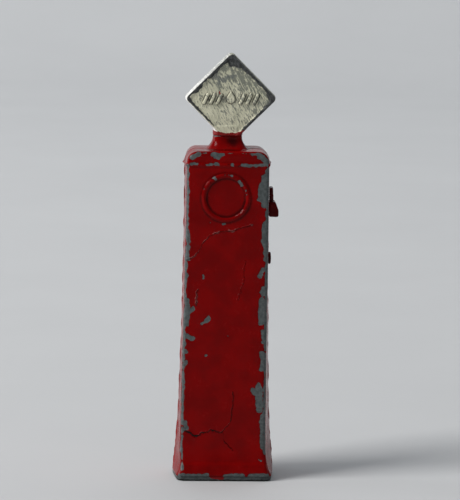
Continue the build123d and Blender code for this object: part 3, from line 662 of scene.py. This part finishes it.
def sign(material):
    mesh, points, edges, normals = softened("sign_casting", 0.075, 3)
    edge = sharpness(points, edges, normals, 16)
    fine = sharpness(points, edges, normals, 6)
    wide = noise_at(points, 2.2, 31)
    small = noise_at(points, 0.5, 32)
    front = points - np.array([SIGN_ASIDE, 0, 0])
    rear = front * np.array([1.0, -1.0, 1.0])
    outward = np.abs(front[:, 0]) + np.abs(front[:, 2] - SIGN_MIDDLE)
    # The left walls are kept free of wear and marked for near-white paint, a painted highlight. The front
    # halves of the right walls are made bare and so darker, as painted shade.
    wall = step(outward, 6.15, 6.35) * step(0.9 - np.abs(normals[:, 1]), 0, 0.2)
    left = step(-front[:, 0], -0.2, 0.5)
    hand = np.maximum(within(front, SIGN_CHIPS, sign_depth), within(rear, SIGN_CHIPS, sign_depth))
    hand = hand - 0.9 * wall * left + 0.30 * wall * (1 - left) * step(points[:, 1], -0.2, -0.6)
    rubbed = (edge - 0.055) * 5.0 + 0.35 * wide + 0.15 * small - 0.22 - 0.6 * wall * left
    bare = np.maximum(np.minimum(rubbed, 0.4), hand + 0.12 * small)
    red = within(front, SIGN_RED_SPECKS, sign_depth)
    collar = 50.60 + 0.07 * points[:, 0] ** 2 + 0.16 * noise_at(points, 1.0, 33) - points[:, 2]
    red = np.maximum(red, np.minimum(collar, 0.5))
    keep_value(mesh, "bare", bare)
    keep_value(mesh, "red", red)
    keep_value(mesh, "thin", within(front, SIGN_THIN_PATCHES, sign_depth))
    # Darkening in the emblem's crevices, from curvature: dirt and painted shade.
    emblem = bulge(points[:, 2], SIGN_MIDDLE, 2.6) * step(5.0 - np.abs(front[:, 0]), 0, 0.5)
    keep_value(mesh, "shade_and_dirt", -fine * emblem)
    keep_value(mesh, "left_wall_highlight", wall * left)
    lift = 0.022 * noise_at(points, 3.0, 34) - 0.03 * step(bare, -0.06, 0.06) + 0.03 * step(red, -0.05, 0.05)
    upright = step(1 - np.abs(normals[:, 2]), 0.4, 0.8)
    ledge = bulge(points[:, 2], STEM_FOOT + 0.05, 0.35) * step(points[:, 2], STEM_FOOT - 0.1, STEM_FOOT)
    lift = lift + 0.03 * upright * ledge
    points = points + normals * lift[:, None]
    return finished("sign", mesh, points, material, "pump", "sign_casting")


def plate(material):
    mesh, points, _, normals = softened("base_plate", 0.11, 3)
    drip = within(points, PLATE_DRIPS, lambda z: FOOT_EDGE_DEPTH)
    edge_line = points[:, 2] - 0.98 + 0.26 * noise_at(points, 1.3, 41) + 0.10 * noise_at(points, 0.4, 43)
    keep_value(mesh, "red", np.maximum(drip, np.minimum(edge_line, 0.3)))
    lift = 0.02 * noise_at(points, 2.0, 42)
    lift = lift + 0.03 * step(drip, -0.1, 0.1)
    points = points + normals * lift[:, None]
    return finished("foot_plate", mesh, points, material, "pump", "base_plate")


def pin(name, node, material, voxel, seed):
    mesh, points, _, normals = softened(node, voxel, 2)
    keep_value(mesh, "red", 0.30 * noise_at(points, 0.8, seed) - 0.03)
    lift = 0.02 * noise_at(points, 0.5, seed + 1)
    return finished(name, mesh, points + normals * lift[:, None], material, "pump", node)


def small_part(name, node, material, body, voxel, seed, wear, passes):
    mesh, points, edges, normals = softened(node, voxel, passes)
    edge = sharpness(points, edges, normals, 8)
    wide = noise_at(points, 1.1, seed)
    keep_value(mesh, "bare", np.minimum((edge - wear) * 8.0 + 0.25 * wide - 0.10, 0.3))
    # Darker in corners: painted shade.
    keep_value(mesh, "shade_and_dirt", -edge)
    lift = 0.04 + 0.035 * noise_at(points, 0.9, seed + 1)
    x, y, z = points.T
    pocket = step(POCKET_HALF_WIDTH - np.abs(y), 0, 0.05) * step(POCKET_OUTER_SIDE - x, 0, 0.05)
    pocket = pocket * step(z, POCKET_FLOOR, POCKET_FLOOR + 0.1)
    fitted = np.maximum(pocket, step(-normals[:, 0], 0.0, 0.5))
    lift = lift * (1 - fitted)
    return finished(name, mesh, points + normals * lift[:, None], material, body, node)


red_dial_side = enamel_material("red_enamel_dial_side", RED, RED_DEEP, True)
red = enamel_material("red_enamel", RED, RED_DEEP, False)
cream = sign_material()
dark_steel = steel_material("dark_steel", (0.090, 0.102, 0.102), (0.045, 0.050, 0.050), 0.30)
pin_steel = steel_material("pin_steel", (0.21, 0.21, 0.205), (0.08, 0.078, 0.074), -9.0)
# The small parts on the right side get a darker red: painted shade for the side that faces away from the
# light.
red_shaded = enamel_material("red_enamel_small_parts_shaded", (0.095, 0.0006, 0.0008), (0.050, 0.0004, 0.0006), False)

casting("front_shell", "front_casting", 1, red_dial_side, 0.12, 3, FRONT_CHIPS, 0.085)
casting("rear_shell", "rear_casting", -1, red, 0.12, 9, REAR_CHIPS, 0.075)
sign(cream)
plate(dark_steel)
pin("upper_pin", "upper_tie_pin", pin_steel, 0.10, 51)
pin("lower_pin", "lower_tie_pin", pin_steel, 0.10, 54)
pin("neck_pin", "sign_pin", pin_steel, 0.07, 57)
pin("front_foot_pin", "front_base_pin", pin_steel, 0.10, 60)
pin("rear_foot_pin", "rear_base_pin", pin_steel, 0.10, 63)
small_part("boot", "nozzle_boot", red_shaded, "pump", 0.06, 70, 0.05, 34)
small_part("hand_nozzle", "nozzle", red_shaded, "nozzle", 0.05, 73, 0.05, 10)
small_part("hose_boss", "hose_socket", red_shaded, "pump", 0.05, 76, 0.05, 7)


# ---------------------------------------------------------------- floor, light and camera
def backdrop():
    """A pale floor that curves up into a pale wall behind the object."""
    half, near, back, radius, height, steps = 2.5, -2.5, 0.55, 0.30, 1.1, 24
    profile = [(near, 0.0), (back, 0.0)]
    profile += [
        (back + radius * math.sin(math.pi / 2 * i / steps), radius * (1 - math.cos(math.pi / 2 * i / steps)))
        for i in range(1, steps + 1)
    ]
    profile.append((back + radius, height))
    verts = [(side * half, y, z) for y, z in profile for side in (-1, 1)]
    faces = [(2 * i, 2 * i + 1, 2 * i + 3, 2 * i + 2) for i in range(len(profile) - 1)]
    mesh = bpy.data.meshes.new("backdrop")
    mesh.from_pydata(verts, [], faces)
    mesh.shade_smooth()
    sheet = bpy.data.objects.new("backdrop", mesh)
    bpy.context.scene.collection.objects.link(sheet)
    g = Graph("pale_backdrop")
    g.feed(g.shader.inputs["Base Color"], g.mix(g.noise(40.0, 3.0), (0.53, 0.54, 0.55), (0.57, 0.58, 0.59)))
    g.shader.inputs["Roughness"].default_value = 0.9
    g.shader.inputs["Specular IOR Level"].default_value = 0.1
    mesh.materials.append(g.material)


def area_light(name, place, target, size, power, colour=(1, 1, 1)):
    data = bpy.data.lights.new(name, "AREA")
    data.shape = "RECTANGLE"
    data.size, data.size_y = size
    data.energy = power
    data.color = colour
    lamp = bpy.data.objects.new(name, data)
    bpy.context.scene.collection.objects.link(lamp)
    lamp.location = place
    lamp.rotation_euler = (Vector(target) - Vector(place)).to_track_quat("-Z", "Y").to_euler()


def lighting():
    world = bpy.data.worlds.new("room")
    bpy.context.scene.world = world
    world.use_nodes = True
    sky = world.node_tree.nodes["Background"]
    sky.inputs["Color"].default_value = (0.90, 0.95, 1.0, 1.0)
    sky.inputs["Strength"].default_value = 0.22
    area_light("window", (-0.96, -0.40, 0.93), (0, 0, 0.03), (0.56, 0.68), 17.4, (1.0, 0.98, 0.96))
    area_light("left_wall", (-0.90, 0.24, 0.17), (0, 0, 0.03), (0.32, 0.32), 2.4, (0.95, 0.97, 1.0))
    area_light("overhead", (0.10, 0.45, 0.70), (0.1, 0.55, 0.0), (0.60, 0.60), 1.5, (0.96, 0.98, 1.0))


def camera():
    """A long lens a little above and to the left, rolled so that the object leans slightly to the right."""
    elevation, distance, roll = math.radians(8.5), 0.50, math.radians(0.88)
    turn = math.radians(2.5)
    aim = Vector((0.00062, 0.0, 0.0333))
    data = bpy.data.cameras.new("camera")
    data.sensor_width = SENSOR_SIDE
    data.lens = SENSOR_SIDE * distance / VIEW_HEIGHT
    data.clip_start = 0.01
    view = bpy.data.objects.new("camera", data)
    bpy.context.scene.collection.objects.link(view)
    level = math.cos(elevation)
    away = Vector((-level * math.sin(turn), -level * math.cos(turn), math.sin(elevation)))
    view.location = aim + away * distance
    look = (aim - view.location).to_track_quat("-Z", "Y").to_matrix().to_4x4()
    view.rotation_euler = (look @ Matrix.Rotation(roll, 4, "Z")).to_euler()
    bpy.context.scene.camera = view


backdrop()
lighting()
camera()
bpy.context.scene.view_settings.view_transform = "Standard"
